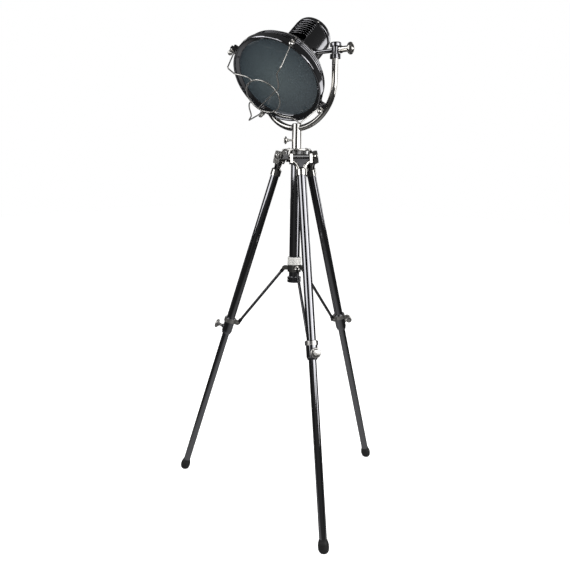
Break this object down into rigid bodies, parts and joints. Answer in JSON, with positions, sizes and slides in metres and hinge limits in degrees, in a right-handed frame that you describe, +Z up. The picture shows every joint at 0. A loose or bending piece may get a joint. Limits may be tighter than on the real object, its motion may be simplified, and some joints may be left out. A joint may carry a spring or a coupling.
{
  "type": "searchlight floor lamp",
  "caption": "Searchlight floor lamp: a domed drum head with a louvred can and wire guard tilts in a yoke on a folding, telescoping tripod.",
  "frame": {"origin": "point on the floor straight below the mast", "axes": "+Z up along the mast, X along the head's trunnions, -Y the way the head faces"},
  "size_m": [0.7646, 0.7246, 1.6516],
  "materials": {
    "black_nickel": "polished black nickel",
    "bright_nickel": "polished nickel",
    "lens_glass": "lightly frosted, grey in an unlit lamp",
    "bulb_glass": "opal",
    "reflector_aluminium": "bright spun",
    "porcelain": "satin",
    "rubber": "matt"
  },
  "bodies": {
    "tripod": {"hub_casting": "black_nickel", "hub_plate": "bright_nickel", "mast_socket": "bright_nickel", "centre_column": "black_nickel", "column_cap": "black_nickel", "leg_pivot_bolts": "bright_nickel"},
    "mast_knob": {"mast_knob": "bright_nickel"},
    "spider": {"spider": "black_nickel"},
    "lock_ring": {"lock_ring": "bright_nickel"},
    "leg_1": {"leg_1_fork": "bright_nickel", "leg_1_upper_tube": "black_nickel", "leg_1_collar": "black_nickel", "leg_1_band": "bright_nickel"},
    "leg_1_knob": {"leg_1_knob": "bright_nickel"},
    "leg_1_lower": {"leg_1_lower_tube": "black_nickel", "leg_1_foot": "rubber"},
    "brace_1": {"brace_1": "black_nickel"},
    "leg_2": {"leg_2_fork": "bright_nickel", "leg_2_upper_tube": "black_nickel", "leg_2_collar": "black_nickel", "leg_2_band": "bright_nickel"},
    "leg_2_knob": {"leg_2_knob": "bright_nickel"},
    "leg_2_lower": {"leg_2_lower_tube": "black_nickel", "leg_2_foot": "rubber"},
    "brace_2": {"brace_2": "black_nickel"},
    "leg_3": {"leg_3_fork": "bright_nickel", "leg_3_upper_tube": "black_nickel", "leg_3_collar": "black_nickel", "leg_3_band": "bright_nickel"},
    "leg_3_knob": {"leg_3_knob": "bright_nickel"},
    "leg_3_lower": {"leg_3_lower_tube": "black_nickel", "leg_3_foot": "rubber"},
    "brace_3": {"brace_3": "black_nickel"},
    "yoke": {"yoke_tube": "bright_nickel", "yoke_stem": "bright_nickel", "yoke_boss_left": "black_nickel", "yoke_boss_right": "black_nickel"},
    "tilt_knob_left": {"tilt_knob_left": "bright_nickel"},
    "tilt_knob_right": {"tilt_knob_right": "bright_nickel"},
    "head": {"drum_shell": "black_nickel", "back_bowl": "bright_nickel", "rear_can": "black_nickel", "can_end_cap": "black_nickel", "reflector": "reflector_aluminium", "lamp_holder": "porcelain", "bulb": "bulb_glass", "lens_glass": "lens_glass", "lens_gasket": "rubber", "bezel_ring": "black_nickel", "wire_guard": "bright_nickel", "clamp_brackets": "black_nickel", "swing_bolts": "bright_nickel", "trunnions": "black_nickel", "cable_gland": "bright_nickel"},
    "clamp_nut_1": {"clamp_nut_1": "bright_nickel"},
    "clamp_nut_2": {"clamp_nut_2": "bright_nickel"},
    "clamp_nut_3": {"clamp_nut_3": "bright_nickel"},
    "clamp_nut_4": {"clamp_nut_4": "bright_nickel"}
  },
  "joints": [
    {"name": "leg_1_fold", "type": "hinge", "parent": "tripod", "child": "leg_1", "pos_m": [0.04274, -0.03461, 1.2], "axis": [0.6293, 0.7771, 0], "range_deg": [0, 12]},
    {"name": "leg_1_telescope", "type": "slide", "parent": "leg_1", "child": "leg_1_lower", "axis": [-0.2324, 0.1882, 0.9542], "range_m": [0, 0.42]},
    {"name": "leg_1_knob_turn", "type": "hinge", "parent": "leg_1", "child": "leg_1_knob", "pos_m": [0.20659, -0.16729, 0.58909], "axis": [0.7416, -0.6005, 0.299], "continuous": true},
    {"name": "brace_1_swing", "type": "hinge", "parent": "spider", "child": "brace_1", "pos_m": [0.0272, -0.02203, 0.82], "axis": [0.6293, 0.7771, 0], "range_deg": [0, 30]},
    {"name": "leg_2_fold", "type": "hinge", "parent": "tripod", "child": "leg_2", "pos_m": [0.0086, 0.05432, 1.2], "axis": [-0.9877, 0.1564, 0], "range_deg": [0, 12]},
    {"name": "leg_2_telescope", "type": "slide", "parent": "leg_2", "child": "leg_2_lower", "axis": [-0.0468, -0.2954, 0.9542], "range_m": [0, 0.42]},
    {"name": "leg_2_knob_turn", "type": "hinge", "parent": "leg_2", "child": "leg_2_knob", "pos_m": [0.04159, 0.26256, 0.58909], "axis": [0.1493, 0.9425, 0.299], "continuous": true},
    {"name": "brace_2_swing", "type": "hinge", "parent": "spider", "child": "brace_2", "pos_m": [0.00547, 0.03457, 0.82], "axis": [-0.9877, 0.1564, 0], "range_deg": [0, 30]},
    {"name": "leg_3_fold", "type": "hinge", "parent": "tripod", "child": "leg_3", "pos_m": [-0.05135, -0.01971, 1.2], "axis": [0.3584, -0.9336, 0], "range_deg": [0, 12]},
    {"name": "leg_3_telescope", "type": "slide", "parent": "leg_3", "child": "leg_3_lower", "axis": [0.2792, 0.1072, 0.9542], "range_m": [0, 0.42]},
    {"name": "leg_3_knob_turn", "type": "hinge", "parent": "leg_3", "child": "leg_3_knob", "pos_m": [-0.24818, -0.09527, 0.58909], "axis": [-0.8909, -0.342, 0.299], "continuous": true},
    {"name": "brace_3_swing", "type": "hinge", "parent": "spider", "child": "brace_3", "pos_m": [-0.03268, -0.01254, 0.82], "axis": [0.3584, -0.9336, 0], "range_deg": [0, 30]},
    {"name": "spider_slide", "type": "slide", "parent": "tripod", "child": "spider", "axis": [0, 0, 1], "range_m": [0, 0.045]},
    {"name": "lock_ring_turn", "type": "hinge", "parent": "spider", "child": "lock_ring", "pos_m": [0, 0, 0.846], "axis": [0, 0, 1], "continuous": true},
    {"name": "mast_knob_turn", "type": "hinge", "parent": "tripod", "child": "mast_knob", "pos_m": [-0.01104, -0.01226, 1.254], "axis": [-0.6691, -0.7431, 0], "continuous": true},
    {"name": "yoke_pan", "type": "hinge", "parent": "tripod", "child": "yoke", "pos_m": [0, 0, 1.281], "axis": [0, 0, 1], "range_deg": [-170, 170]},
    {"name": "tilt_knob_left_turn", "type": "hinge", "parent": "yoke", "child": "tilt_knob_left", "pos_m": [-0.18, 0, 1.528], "axis": [-1, 0, 0], "continuous": true},
    {"name": "tilt_knob_right_turn", "type": "hinge", "parent": "yoke", "child": "tilt_knob_right", "pos_m": [0.18, 0, 1.528], "axis": [1, 0, 0], "continuous": true},
    {"name": "head_tilt", "type": "hinge", "parent": "yoke", "child": "head", "pos_m": [0, 0, 1.528], "axis": [-1, 0, 0], "range_deg": [0, 100]},
    {"name": "clamp_nut_1_turn", "type": "hinge", "parent": "head", "child": "clamp_nut_1", "pos_m": [0.12106, -0.19593, 1.52815], "axis": [0, -0.766, -0.6428], "continuous": true},
    {"name": "clamp_nut_2_turn", "type": "hinge", "parent": "head", "child": "clamp_nut_2", "pos_m": [-0.12106, -0.19593, 1.52815], "axis": [0, -0.766, -0.6428], "continuous": true},
    {"name": "clamp_nut_3_turn", "type": "hinge", "parent": "head", "child": "clamp_nut_3", "pos_m": [-0.12106, -0.04031, 1.34268], "axis": [0, -0.766, -0.6428], "continuous": true},
    {"name": "clamp_nut_4_turn", "type": "hinge", "parent": "head", "child": "clamp_nut_4", "pos_m": [0.12106, -0.04031, 1.34268], "axis": [0, -0.766, -0.6428], "continuous": true}
  ],
  "couplings": [
    {"joint": "brace_1_swing", "follows": "leg_1_fold", "ratio": 2.4625},
    {"joint": "leg_2_fold", "follows": "leg_1_fold", "ratio": 1},
    {"joint": "brace_2_swing", "follows": "leg_1_fold", "ratio": 2.4625},
    {"joint": "leg_3_fold", "follows": "leg_1_fold", "ratio": 1},
    {"joint": "brace_3_swing", "follows": "leg_1_fold", "ratio": 2.4625},
    {"joint": "spider_slide", "follows": "leg_1_fold", "m_per_rad": 0.202}
  ]
}
